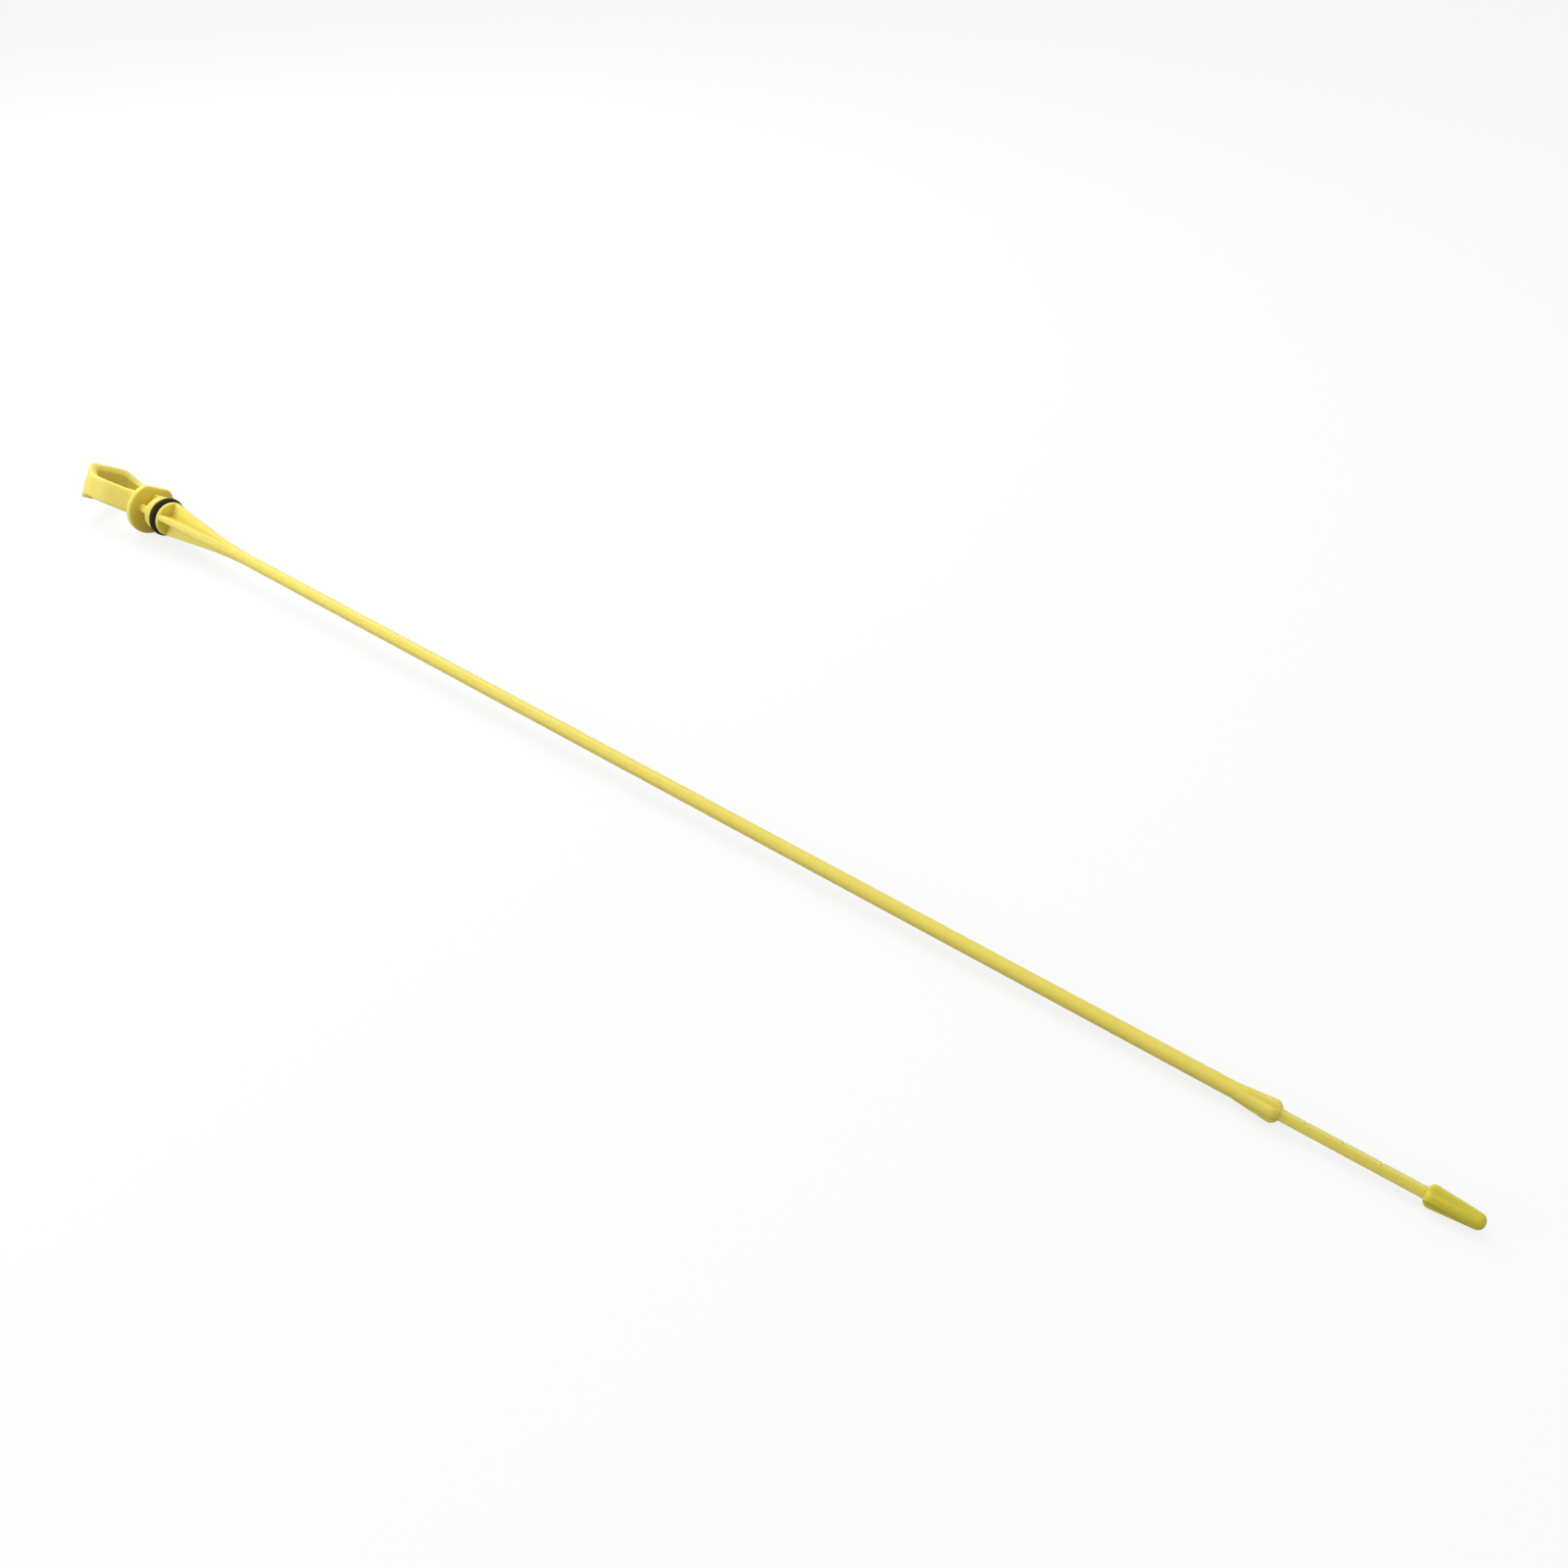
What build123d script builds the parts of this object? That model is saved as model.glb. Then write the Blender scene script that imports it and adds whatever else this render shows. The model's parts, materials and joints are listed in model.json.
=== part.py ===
"""Engine oil dipstick: a one-piece yellow plastic moulding with a rubber sealing ring.

The moulding is drawn along its own straight axis, +X from the stop flange's seat face to the tip and
+Z through the finger hole of the loop handle. At the end it is laid down as it comes to rest, on the
rim of the stop flange, one side edge of the loop and the tip. All lengths are in millimetres.
"""
from build123d import *
import os
from math import atan, atan2, degrees, tan

# Stop flange, a round disc with one flat
flange_radius = 9.0
flange_thickness = 2.2
flange_edge_radius = 0.8
flange_seat_chamfer = 0.5
flange_flat_height = 7.6

# Plug behind the seat face: four lugs on a core, then the collar, the ring groove and the lip
core_radius = 3.2
lug_length = 4.1
lug_thickness = 2.7
lug_reach = 5.5
plug_radius = 6.0
plug_edge_chamfer = 0.25
collar_width = 2.7
lip_width = 1.4
groove_radius = 4.15

# Sealing ring, stretched into the groove
ring_section = 2.6
ring_seat_clearance = 0.05
ring_side_clearance = 0.35

# Four-rib flare from the lip down to the rod
flare_length = 31.7
flare_start_radius = 5.9
flare_blend_length = 11.5
rib_start_thickness = 1.6
rib_end_thickness = 3.6

# Plain round rod
rod_diameter = 4.0
rod_length = 400.2

# Four-fin guide at the end of the rod
guide_length = 11.9
guide_radius = 3.1
guide_nose_radius = 2.2
guide_fin_thickness = 1.9

# Square gauge bar with its level notches
gauge_side = 2.5
gauge_length = 33.7
gauge_edge_radius = 0.35
notch_count = 3
notch_first = 5.5
notch_pitch = 9.0
notch_width = 0.9
notch_depth = 0.35
notch_flank_angle = 60

# Four-fin bullet tip
tip_length = 13.2
tip_radius = 2.95
tip_end_radius = 2.1
tip_shoulder_radius = 1.5
tip_nose_radius = 2.1
tip_fin_thickness = 1.8
tip_core_radius = 1.75

# Loop handle: a waisted band, wide at mid length and tall at its outer end
handle_length = 27.6
handle_neck_width = 8.8
handle_width = 26.6
handle_end_width = 14.8
handle_end_taper = 11.9
handle_side_radius = 14.2
handle_end_radius = 5.4
handle_neck_height = 7.9
handle_waist_height = 7.8
handle_end_height = 12.8
handle_flare_length = 7.6
handle_flare_radius = 7.1
handle_crown_length = 1.5
handle_crown_radius = 1.0
handle_wall = 2.9
handle_edge_radius = 0.6
hole_front_wall = 6.5
hole_front_radius = 2.0
hole_edge_chamfer = 1.2

# Places along the axis, from the seat face
groove_width = ring_section + 2 * ring_side_clearance
collar_front = lug_length + collar_width
groove_front = collar_front + groove_width
lip_front = groove_front + lip_width
flare_front = lip_front + flare_length
flare_end = flare_front + flare_blend_length
guide_start = lip_front + rod_length
guide_end = guide_start + guide_length
tip_start = guide_end + gauge_length
tip_end = tip_start + tip_length
rod_radius = rod_diameter / 2

# Stop flange and plug, turned about the axis
with BuildPart() as plug:
    with BuildSketch(Plane.XZ) as plug_profile:
        with BuildLine():
            Polyline(
                (-flange_thickness, 0),
                (-flange_thickness, flange_radius),
                (0, flange_radius),
                (0, core_radius),
                (lug_length, core_radius),
                (lug_length, plug_radius),
                (collar_front, plug_radius),
                (collar_front, groove_radius),
                (groove_front, groove_radius),
                (groove_front, plug_radius),
                (lip_front, plug_radius),
                (lip_front, 0),
                close=True,
            )
        make_face()
        chamfer(plug_profile.vertices().group_by(Axis.Y)[-2], plug_edge_chamfer)
        seat_corner = plug_profile.vertices().sort_by_distance((0, flange_radius))[0]
        chamfer(seat_corner, flange_seat_chamfer)
        back_corner = plug_profile.vertices().sort_by_distance((-flange_thickness, flange_radius))[0]
        fillet(back_corner, flange_edge_radius)
    revolve(axis=Axis.X)
    # the flat on the flange rim
    with BuildSketch(Plane.XY.offset(flange_flat_height)):
        Rectangle(2 * flange_thickness, 2 * flange_radius, align=(Align.MAX, Align.CENTER))
    extrude(amount=flange_radius, mode=Mode.SUBTRACT)
    # four lugs between the seat face and the collar
    with BuildSketch(Plane.YZ):
        Rectangle(2 * lug_reach, lug_thickness)
        Rectangle(lug_thickness, 2 * lug_reach)
    extrude(amount=lug_length)

# Flare: two crossed plates that thicken towards the rod, trimmed to a turned outline
blend_angle = atan((flare_start_radius - rod_radius) / flare_length)
blend_radius = flare_blend_length / tan(blend_angle / 2)
rib_length = flare_length + flare_blend_length

with BuildPart() as flare:
    with BuildSketch(Plane.XY, Plane.XZ):
        with BuildLine():
            Polyline(
                (lip_front, -rib_start_thickness / 2),
                (lip_front + rib_length, -rib_end_thickness / 2),
                (lip_front + rib_length, rib_end_thickness / 2),
                (lip_front, rib_start_thickness / 2),
                close=True,
            )
        make_face()
    extrude(amount=flare_start_radius, both=True)
    with BuildSketch(Plane.XZ) as flare_outline:
        with BuildLine():
            Polyline(
                (lip_front, 0),
                (lip_front, flare_start_radius),
                (flare_front, rod_radius),
                (lip_front + 2 * rib_length, rod_radius),
                (lip_front + 2 * rib_length, 0),
                close=True,
            )
        make_face()
        bend = flare_outline.vertices().sort_by_distance((flare_front, rod_radius))[0]
        fillet(bend, blend_radius)
    revolve(axis=Axis.X, mode=Mode.INTERSECT)

# Guide: crossed fins and a core, trimmed to an outline that swells and then rounds off
with BuildPart() as guide:
    with BuildSketch(Plane.YZ.offset(guide_start)):
        Rectangle(2 * guide_radius, guide_fin_thickness)
        Rectangle(guide_fin_thickness, 2 * guide_radius)
        Circle(rod_radius)
    extrude(amount=guide_length)
    with BuildSketch(Plane.XZ) as guide_outline:
        with BuildLine():
            Polyline(
                (guide_start, 0),
                (guide_start, rod_radius),
                (guide_end, guide_radius),
                (guide_end, 0),
                close=True,
            )
        make_face()
        nose = guide_outline.vertices().sort_by_distance((guide_end, guide_radius))[0]
        fillet(nose, guide_nose_radius)
    revolve(axis=Axis.X, mode=Mode.INTERSECT)

# Tip: crossed fins and a core, trimmed to a bullet with a round shoulder and a blunt nose
with BuildPart() as tip:
    with BuildSketch(Plane.YZ.offset(tip_start)):
        Rectangle(2 * tip_radius, tip_fin_thickness)
        Rectangle(tip_fin_thickness, 2 * tip_radius)
        Circle(tip_core_radius)
    extrude(amount=tip_length)
    with BuildSketch(Plane.XZ) as tip_outline:
        with BuildLine():
            Polyline(
                (tip_start, 0),
                (tip_start, tip_radius),
                (tip_end, tip_end_radius),
                (tip_end, 0),
                close=True,
            )
        make_face()
        shoulder = tip_outline.vertices().sort_by_distance((tip_start, tip_radius))[0]
        fillet(shoulder, tip_shoulder_radius)
        nose = tip_outline.vertices().sort_by_distance((tip_end, tip_end_radius))[0]
        fillet(nose, tip_nose_radius)
    revolve(axis=Axis.X, mode=Mode.INTERSECT)

# Loop handle: a plan outline cut to a waisted side outline, with the finger hole through it
handle_root = -flange_thickness / 2
handle_back = -flange_thickness
handle_end = handle_back - handle_length
handle_widest = handle_end + handle_end_taper
handle_waist = handle_end + handle_flare_length
handle_crown = handle_end + handle_crown_length
upright_limit = 0.01

with BuildPart() as handle:
    with BuildSketch(Plane.XY) as loop_plan:
        with BuildLine():
            Polyline(
                (handle_root, handle_neck_width / 2),
                (handle_widest, handle_width / 2),
                (handle_end, handle_end_width / 2),
                (handle_end, -handle_end_width / 2),
                (handle_widest, -handle_width / 2),
                (handle_root, -handle_neck_width / 2),
                close=True,
            )
        make_face()
        widths = loop_plan.vertices().group_by(Axis.Y)
        fillet(widths[0] + widths[-1], handle_side_radius)
        fillet(loop_plan.vertices().group_by(Axis.X)[0], handle_end_radius)
    extrude(amount=handle_end_height, both=True)
    with BuildSketch(Plane.XZ) as side_outline:
        with BuildLine():
            Polyline(
                (handle_root, 0),
                (handle_root, handle_neck_height / 2),
                (handle_waist, handle_waist_height / 2),
                (handle_crown, handle_end_height / 2),
                (handle_end, handle_end_height / 2),
                (handle_end, 0),
                close=True,
            )
        make_face()
        waist = side_outline.vertices().sort_by_distance((handle_waist, handle_waist_height / 2))[0]
        fillet(waist, handle_flare_radius)
        crown = side_outline.vertices().sort_by_distance((handle_crown, handle_end_height / 2))[0]
        fillet(crown, handle_crown_radius)
        mirror(about=Plane.XZ)
    extrude(amount=handle_width, both=True, mode=Mode.INTERSECT)
    # round the outer edges of the band, where its upright walls meet its upper and lower faces
    walls = handle.faces().filter_by(lambda f: abs(f.normal_at().Z) < upright_limit)
    caps = handle.faces() - walls
    rim = caps.edges().filter_by(lambda e: e.center().X < handle_back) & walls.edges()
    fillet(rim, handle_edge_radius)
    # the finger hole, with a broken edge all round
    with BuildSketch(Plane.XY) as hole_plan:
        add(loop_plan.sketch)
        offset(amount=-handle_wall)
        with Locations((handle_back - hole_front_wall, 0)):
            Rectangle(handle_length, handle_width, align=(Align.MIN, Align.CENTER), mode=Mode.SUBTRACT)
        fillet(hole_plan.vertices().group_by(Axis.X)[-1], hole_front_radius)
    extrude(amount=handle_end_height, both=True, mode=Mode.SUBTRACT)
    chamfer(handle.edges(Select.LAST).filter_by(Axis.Z, reverse=True), hole_edge_chamfer)

# The whole moulding in one piece
with BuildPart() as moulding:
    add(plug.part)
    add(flare.part)
    with BuildSketch(Plane.YZ.offset(flare_end)):
        Circle(rod_radius)
    extrude(amount=guide_start - flare_end)
    add(guide.part)
    with BuildSketch(Plane.YZ.offset(guide_end - guide_nose_radius)):
        RectangleRounded(gauge_side, gauge_side, gauge_edge_radius)
    extrude(amount=guide_nose_radius + gauge_length + tip_shoulder_radius)
    add(tip.part)
    # level notches across the upper face of the gauge bar
    with BuildSketch(Plane.XZ):
        with Locations((guide_end + notch_first + notch_pitch * (notch_count - 1) / 2, gauge_side / 2)):
            with GridLocations(notch_pitch, notch_depth, notch_count, 1):
                Trapezoid(notch_width, 2 * notch_depth, notch_flank_angle, rotation=180)
    extrude(amount=gauge_side, both=True, mode=Mode.SUBTRACT)
    add(handle.part)

# Sealing ring: a round section turned about the axis, clear of the groove floor and walls
ring_mid_radius = groove_radius + ring_seat_clearance + ring_section / 2
ring_place = collar_front + groove_width / 2

with BuildPart() as ring:
    with BuildSketch(Plane.XZ):
        with Locations((ring_place, ring_mid_radius)):
            Circle(ring_section / 2)
    revolve(axis=Axis.X)

# At rest it lies on the flange rim, on one side edge of the loop and on the tip
rest_run = tip_start + tip_shoulder_radius + flange_seat_chamfer


def lowest(piece, turn):
    """Height of the lowest point of a piece after a turn."""
    return (turn * piece.part).bounding_box().min.Z


def lying(roll):
    """The turn that rolls the moulding about its axis and dips the tip to the flange's level."""
    rolled = Rotation(-roll, 0, 0)
    drop = lowest(tip, rolled) - lowest(plug, rolled)
    return Rotation(0, degrees(atan2(drop, rest_run)), 0) * rolled


# halve the range of rolls until the loop's edge and the flange's rim stand at one level
least_roll = 0
most_roll = 90
roll_halvings = 14
for halving in range(roll_halvings):
    middle_roll = (least_roll + most_roll) / 2
    turn = lying(middle_roll)
    if lowest(handle, turn) > lowest(plug, turn):
        least_roll = middle_roll
    else:
        most_roll = middle_roll

turn = lying(least_roll)
box = (turn * moulding.part).bounding_box()
lay_down = Pos(-box.center().X, -box.center().Y, -box.min.Z) * turn

dipstick_moulding = lay_down * moulding.part
dipstick_moulding.label = "dipstick_moulding"
o_ring = lay_down * ring.part
o_ring.label = "o_ring"

os.makedirs("parts", exist_ok=True)
export_step(dipstick_moulding, "parts/dipstick_moulding.step")
export_step(o_ring, "parts/o_ring.step")
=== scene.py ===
"""Engine oil dipstick: the dressed pieces, their finishes, the studio and the camera.

The pieces are surfaces worked out with numpy along the dipstick's own axis, x from the stop flange's
seat face to the tip and z through the finger hole, and are then laid where the packed model lies.
"""

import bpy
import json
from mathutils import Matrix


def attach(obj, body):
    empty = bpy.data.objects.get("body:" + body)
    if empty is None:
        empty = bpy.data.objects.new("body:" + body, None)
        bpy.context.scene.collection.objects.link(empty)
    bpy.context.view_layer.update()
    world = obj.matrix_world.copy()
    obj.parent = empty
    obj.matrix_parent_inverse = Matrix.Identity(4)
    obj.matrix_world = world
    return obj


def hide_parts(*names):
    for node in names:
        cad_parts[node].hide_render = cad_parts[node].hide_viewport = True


bl_info = {
    "name": "Engine oil dipstick",
    "version": (1, 0, 0),
    "blender": (4, 5, 0),
    "location": "View3D > Sidebar > Dipstick",
    "description": "Moulds an oil dipstick with a loop handle and a sealing ring, and sets its studio",
    "category": "Add Mesh",
}

import json
import math
from types import SimpleNamespace

import bpy
import numpy as np
from bpy.props import FloatProperty, FloatVectorProperty, IntProperty, PointerProperty
from bpy.types import Operator, Panel, PropertyGroup

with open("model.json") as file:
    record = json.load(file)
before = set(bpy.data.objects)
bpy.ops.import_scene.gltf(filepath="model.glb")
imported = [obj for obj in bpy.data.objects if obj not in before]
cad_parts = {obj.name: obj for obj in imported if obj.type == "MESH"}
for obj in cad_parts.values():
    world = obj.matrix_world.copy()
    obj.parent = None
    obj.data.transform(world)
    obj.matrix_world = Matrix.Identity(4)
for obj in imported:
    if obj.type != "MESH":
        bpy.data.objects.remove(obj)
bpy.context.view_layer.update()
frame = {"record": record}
MOUNTS = {mount["name"]: mount for mount in frame["record"]["mounts"]}
MM = 0.001
RIBS = 4
EIGHTH = math.pi / RIBS
QUARTER = 2 * EIGHTH
TINY = 1e-9
SMOOTH_ANGLE = math.radians(32)

# Columns of a ribbed section in an eighth of the round, after the one on the rib's middle
END_COLUMNS = 4
CORNER_COLUMNS = 5
SIDE_COLUMNS = 6
ROOT_COLUMNS = 9
EIGHTH_COLUMNS = 1 + END_COLUMNS + CORNER_COLUMNS + SIDE_COLUMNS + ROOT_COLUMNS

# Limits of a ribbed section: largest half rib as a share of the outline, roundings as shares of the
# rib's height and of half the rib, and the height under which the columns move to even angles
RIB_LIMIT = math.sqrt(0.4999)
ROUND_OF_HEIGHT = 0.45
EDGE_OF_HALF_RIB = 0.9
LOW_RIB = 0.8 * MM

# Rows along the stem, as steps of an arc or a line, or as shares of a length or a radius
FLANGE_BACK_SHARES = (0.02, 0.26, 0.5, 0.74, 0.98)
FLANGE_SEAT_SHARES = (0.97, 0.8)
FLANGE_EDGE_STEPS = 8
LUG_SHARES = (0, 0.15, 0.5, 0.85, 1)
PLUG_EDGE_STEPS = 5
FLARE_STEPS = 64
ROD_STEPS = 33
GUIDE_STEPS = 29
GUIDE_NOSE_STEPS = 14
NOTCH_FLOOR_SHARE = 0.25
TIP_SHOULDER_STEPS = 12
TIP_CONE_STEPS = 23
TIP_NOSE_STEPS = 16
TIP_END_SHARES = (0.5, 0.05)

# Points along the handle's outlines and round its section, and how the finger hole's slope steepens
LOOP_ARC_STEPS = 20
LOOP_LINE_STEPS = 12
SIDE_ARC_STEPS = 24
SIDE_LINE_STEPS = 8
BAND_EDGE_STEPS = 5
BAND_CAP_STEPS = 8
BAND_SLOPE_STEPS = 8
BAND_WALL_STEPS = 7
SLOPE_POWER = 1.5

# Points round the sealing ring and round its section
RING_STEPS = 128
RING_SECTION_STEPS = 48

# Noise in the finishes: repeats per metre and octaves
FLOW_SCALE = 60
GLOSS_SCALE = 240
GRAIN_SCALE = 2600
BLOOM_SCALE = 420
RUBBER_GRAIN_SCALE = 3200
SOFT_DETAIL = 3
FINE_DETAIL = 2

# How strongly noise and bump show in the finishes
PLASTIC_UNEVEN = 0.12
PLASTIC_GRAIN = 0.15
PLASTIC_BUMP = 0.15
RUBBER_UNEVEN = 0.1
RUBBER_BLOOM = 0.4
RUBBER_BUMP = 0.1

# Place and side of each square lamp in metres, the camera's sensor in millimetres and its range in metres
LAMPS = {
    "key": {"place": (-0.4, -0.5, 0.2), "side": 0.4},
    "top": {"place": (-0.3, 0.35, 0.9), "side": 0.7},
    "back": {"place": (-0.5, 0.2, 0.5), "side": 0.5},
}
SENSOR_WIDTH = 36
NEAREST = 0.01
FURTHEST = 50
WHITE = (1, 1, 1, 1)


def length(label, millimetres, note):
    """A length property whose default is given in millimetres."""
    return FloatProperty(
        name=label, description=note, default=millimetres * MM, min=0, unit="LENGTH", precision=5)


def number(label, value, note, unit="NONE"):
    """A number property, plain or with a unit."""
    return FloatProperty(name=label, description=note, default=value, unit=unit)


def colour(label, rgb, note):
    """A colour property with linear red, green and blue."""
    return FloatVectorProperty(
        name=label, description=note, default=rgb, size=3, min=0, max=1, subtype="COLOR")


class DipstickStem(PropertyGroup):
    """Sizes of the moulding from the stop flange to the tip."""
    flange_radius: length("Flange radius", 9.0, "Outer radius of the stop flange")
    flange_thickness: length("Flange thickness", 2.2, "Thickness of the stop flange")
    flange_edge: length("Flange edge", 0.8, "Radius of the flange's back edge")
    flange_seat_edge: length("Flange seat edge", 0.6, "Radius of the flange's edge on the seat side")
    flange_flat: length("Flange flat", 7.6, "Height of the flat above the axis")
    core_radius: length("Core radius", 3.2, "Radius of the core between flange and collar")
    lug_length: length("Lug length", 4.1, "Length of the four lugs")
    lug_thickness: length("Lug thickness", 2.7, "Thickness of a lug")
    lug_reach: length("Lug reach", 5.5, "How far a lug reaches from the axis")
    plug_radius: length("Plug radius", 6.0, "Radius of the collar and the lip")
    plug_edge: length("Plug edge", 0.25, "Radius of the collar's edges")
    lip_ring_edge: length("Lip ring edge", 0.45, "Radius of the lip's edge beside the ring")
    lip_flare_edge: length("Lip flare edge", 0.08, "Radius of the lip's edge round the ribs")
    collar_width: length("Collar width", 2.7, "Width of the collar in front of the ring")
    groove_width: length("Groove width", 3.3, "Width of the ring's groove")
    groove_radius: length("Groove radius", 4.15, "Radius of the groove's floor")
    lip_width: length("Lip width", 1.4, "Width of the lip behind the ring")
    flare_length: length("Flare length", 31.7, "From the lip to where the flare's straight outline ends")
    flare_radius: length("Flare radius", 5.9, "Radius of the ribs where they leave the lip")
    flare_blend: length("Flare blend", 11.5, "Length over which the flare runs out into the rod")
    rib_start: length("Rib start", 2.0, "Thickness of a rib at the lip")
    rib_end: length("Rib end", 3.6, "Thickness of a rib where it runs out")
    rib_edge: length("Rib edge", 0.2, "Radius of the outer edges of ribs and lugs")
    rib_root: length("Rib root", 0.35, "Radius in the corners between the lugs and their core")
    flare_root: length("Flare root", 0.4, "Radius in the corners between the flare's ribs")
    rod_radius: length("Rod radius", 2.0, "Radius of the plain rod")
    rod_length: length("Rod length", 400.2, "From the lip to the start of the guide")
    guide_length: length("Guide length", 11.9, "Length of the four-fin guide")
    guide_radius: length("Guide radius", 3.1, "Largest radius of the guide before it is rounded off")
    guide_nose: length("Guide nose", 2.2, "Radius that rounds off the end of the guide")
    guide_fin: length("Guide fin", 2.6, "Thickness of a guide fin")
    gauge_side: length("Gauge side", 2.5, "Side of the square gauge bar")
    gauge_length: length("Gauge length", 33.7, "Length of the gauge bar that shows")
    gauge_edge: length("Gauge edge", 0.35, "Radius of the gauge bar's long edges")
    notch_count: IntProperty(name="Notches", description="How many level notches", default=3, min=1)
    notch_first: length("First notch", 5.5, "From the guide's end to the first notch")
    notch_pitch: length("Notch pitch", 9.0, "From one notch to the next")
    notch_half: length("Notch half width", 0.25, "Half of a notch's width at the bar's face")
    notch_depth: length("Notch depth", 0.35, "Depth of a notch")
    tip_length: length("Tip length", 13.2, "Length of the bullet tip")
    tip_radius: length("Tip radius", 2.9, "Radius of the tip's cone where it starts")
    tip_end_radius: length("Tip end radius", 1.85, "Radius of the tip's cone at its very end")
    tip_shoulder: length("Tip shoulder", 1.5, "Radius of the tip's round shoulder")
    tip_nose: length("Tip nose", 1.8, "Radius of the tip's blunt nose")
    tip_fin: length("Tip fin", 2.2, "Thickness of a tip fin")
    tip_core: length("Tip core", 2.05, "Radius of the core between the tip's fins")
    fin_round: length("Fin rounding", 0.5, "Largest radius on the edges and in the roots of soft fins")


class DipstickHandle(PropertyGroup):
    """Sizes of the loop handle behind the stop flange."""
    reach: length("Handle length", 27.6, "From the flange's back to the handle's outer end")
    neck_width: length("Neck width", 8.8, "Width where the handle leaves the flange")
    neck_corner: length("Neck corner", 0.2, "Radius of the neck's corner, which lies hidden in the flange")
    width: length("Widest corner", 26.6, "Width between the two side corners before they are rounded")
    end_width: length("End width", 14.8, "Width of the outer end before its corners are rounded")
    end_taper: length("End taper", 11.9, "From the outer end to the widest place")
    side_radius: length("Side radius", 14.2, "Radius that rounds the widest place")
    end_radius: length("End radius", 5.4, "Radius of the outer end's corners in plan")
    neck_height: length("Neck height", 7.9, "Height of the band at the flange")
    waist_height: length("Waist height", 7.8, "Height of the band at its waist")
    end_height: length("End height", 12.8, "Height of the band at the outer end")
    flare_length: length("Flare length", 7.6, "From the outer end to the waist")
    flare_radius: length("Flare radius", 7.1, "Radius in the hollow of the waist")
    crown_length: length("Crown length", 1.5, "Length of the flat along the outer end")
    crown_radius: length("Crown radius", 1.0, "Radius between the flare and that flat")
    wall: length("Band wall", 2.9, "Thickness of the band")
    edge: length("Band edge", 0.82, "Radius of the band's outer edges")
    hole_front: length("Hole front wall", 6.5, "From the flange's back to the finger hole")
    hole_radius: length("Hole corner", 2.0, "Radius of the hole's corners near the flange")
    end_wall: length("End wall", 3.3, "Thickness of the band across its outer end")
    hole_slope: length("Hole slope", 1.3, "Width of the curved slope round the finger hole")
    hole_drop: length("Hole drop", 0.9, "Depth of that slope at the hole")


class DipstickRing(PropertyGroup):
    """Sizes of the sealing ring."""
    section: length("Ring section", 2.6, "Diameter of the ring's round section")
    seat_gap: length("Seat gap", 0.05, "Room between the ring and the groove's floor")


class DipstickFinish(PropertyGroup):
    """Colours and gloss of the two materials."""
    plastic: colour("Plastic", (0.83, 0.705, 0.14), "Yellow of the moulding")
    plastic_deep: colour("Plastic flow", (0.8, 0.67, 0.118), "Deeper yellow of the flow marks")
    # Painted shade: this darker yellow on the tip stands in for the light that falls off towards the tip,
    # not for a real stain
    plastic_shaded_tip: colour("Plastic tip", (0.68, 0.59, 0.045), "Yellow of the tip, a little stained by oil")
    plastic_gloss: number("Plastic roughness", 0.42, "Mean roughness of the moulding")
    plastic_shine: number("Plastic shine", 0.35, "Specular level of the moulding")
    plastic_glow: number("Plastic glow", 0.8, "Share of the light that spreads inside the moulding")
    plastic_depth: length("Plastic depth", 3.0, "How far light spreads inside the moulding")
    plastic_spread: colour("Plastic spread", (1.0, 0.92, 0.15), "Share of that depth for each colour")
    plastic_relief: length("Plastic relief", 0.03, "Depth of the plastic's grain and mould line")
    mould_line: length("Mould line", 0.12, "Width of the line where the mould's two halves met")
    rubber: colour("Rubber", (0.024, 0.015, 0.005), "Black of the sealing ring")
    rubber_worn: colour("Rubber bloom", (0.045, 0.034, 0.016), "Pale bloom on the rubber")
    rubber_gloss: number("Rubber roughness", 0.45, "Mean roughness of the ring")
    rubber_shine: number("Rubber shine", 0.09, "Specular level of the ring")
    rubber_relief: length("Rubber relief", 0.02, "Depth of the rubber's grain")


class DipstickStudio(PropertyGroup):
    """The camera, the floor and the lamps."""
    camera_place: FloatVectorProperty(
        name="Camera place", description="Where the camera stands", subtype="TRANSLATION", unit="LENGTH",
        default=(0.25007, -0.2599, 0.27989), precision=5)
    camera_turn: FloatVectorProperty(
        name="Camera turn", description="How the camera is turned", subtype="EULER", unit="ROTATION",
        default=tuple(math.radians(a) for a in (51.848, -1.707, 37.619)))
    lens: length("Lens", 36.0, "Focal length of the camera")
    floor_size: number("Floor size", 8.0, "Side of the floor", "LENGTH")
    floor_colour: colour("Floor", (0.95, 0.95, 0.95), "White of the floor as it is seen")
    floor_bounce: colour("Floor bounce", (0.2, 0.2, 0.2), "Grey of the floor in the light it throws back")
    floor_glow: number("Floor glow", 0.8, "Share of plain white in the floor as it is seen")
    sky: number("Sky", 0.64, "Strength of the even light from all round")
    key_power: number("Key power", 1.6, "Power of the main lamp", "POWER")
    top_power: number("Top power", 1.0, "Power of the lamp above", "POWER")
    back_power: number("Back power", 2.1, "Power of the lamp behind the handle", "POWER")


def part_axes():
    """The dipstick's origin on the seat face and its three axes, as the rows of a matrix."""
    along = np.array(MOUNTS["tube_plug"]["axis"])
    upward = np.array(MOUNTS["finger_grip"]["axis"])
    on_axis = np.array(MOUNTS["tube_plug"]["pos_m"])
    seat = np.array(MOUNTS["stop_seat"]["pos_m"])
    origin = on_axis + along * np.dot(seat - on_axis, along)
    return origin, np.stack([along, np.cross(upward, along), upward])


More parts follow.
